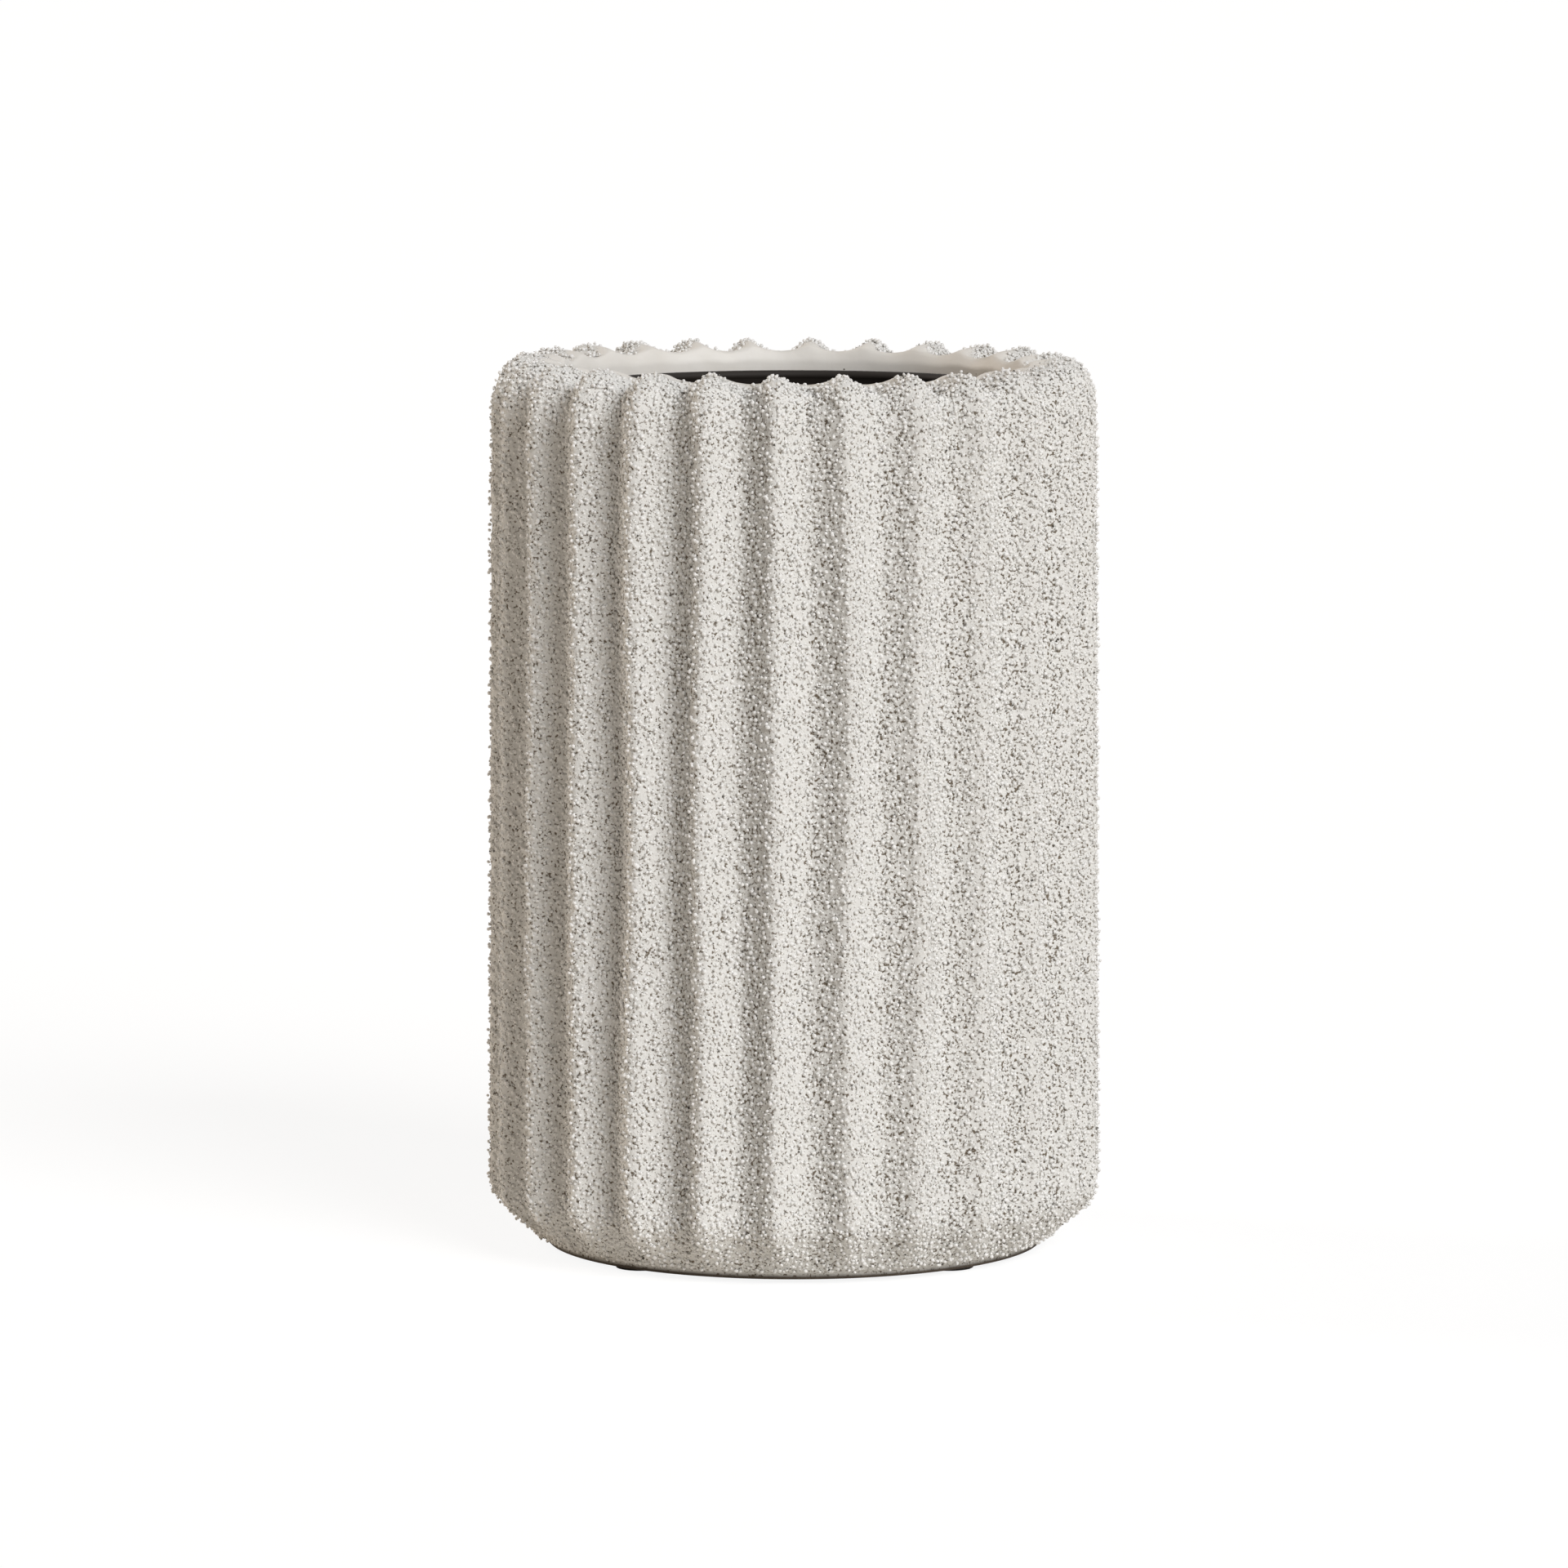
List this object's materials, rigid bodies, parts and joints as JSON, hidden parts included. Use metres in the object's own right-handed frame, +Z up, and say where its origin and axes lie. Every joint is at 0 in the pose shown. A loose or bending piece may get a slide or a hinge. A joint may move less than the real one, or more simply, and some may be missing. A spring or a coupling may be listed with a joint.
{
  "type": "fluted vase",
  "caption": "Upright stoneware vase with fluted straight sides, a thick in-turned rim, a bevelled foot on felt dots and a lift-out water liner.",
  "frame": {"origin": "centre of the vase's underside, on the surface that it stands on", "axes": "+Z up along the vase's axis; the pictured side faces -Y, with +X to its right"},
  "size_m": [0.1504, 0.1502, 0.2176],
  "materials": {
    "gritty_stoneware": "coarse sanded grit outside, smooth glaze on the inner rim",
    "moulded_liner": "moulded, slightly glossy",
    "pressed_felt": "pressed felt"
  },
  "bodies": {
    "vase": {"stoneware_body": "gritty_stoneware", "felt_dot_1": "pressed_felt", "felt_dot_2": "pressed_felt", "felt_dot_3": "pressed_felt", "felt_dot_4": "pressed_felt"},
    "liner": {"water_liner": "moulded_liner"}
  },
  "joints": [
    {"name": "liner_lift", "type": "slide", "parent": "vase", "child": "liner", "axis": [0, 0, 1], "range_m": [0, 0.21]}
  ]
}
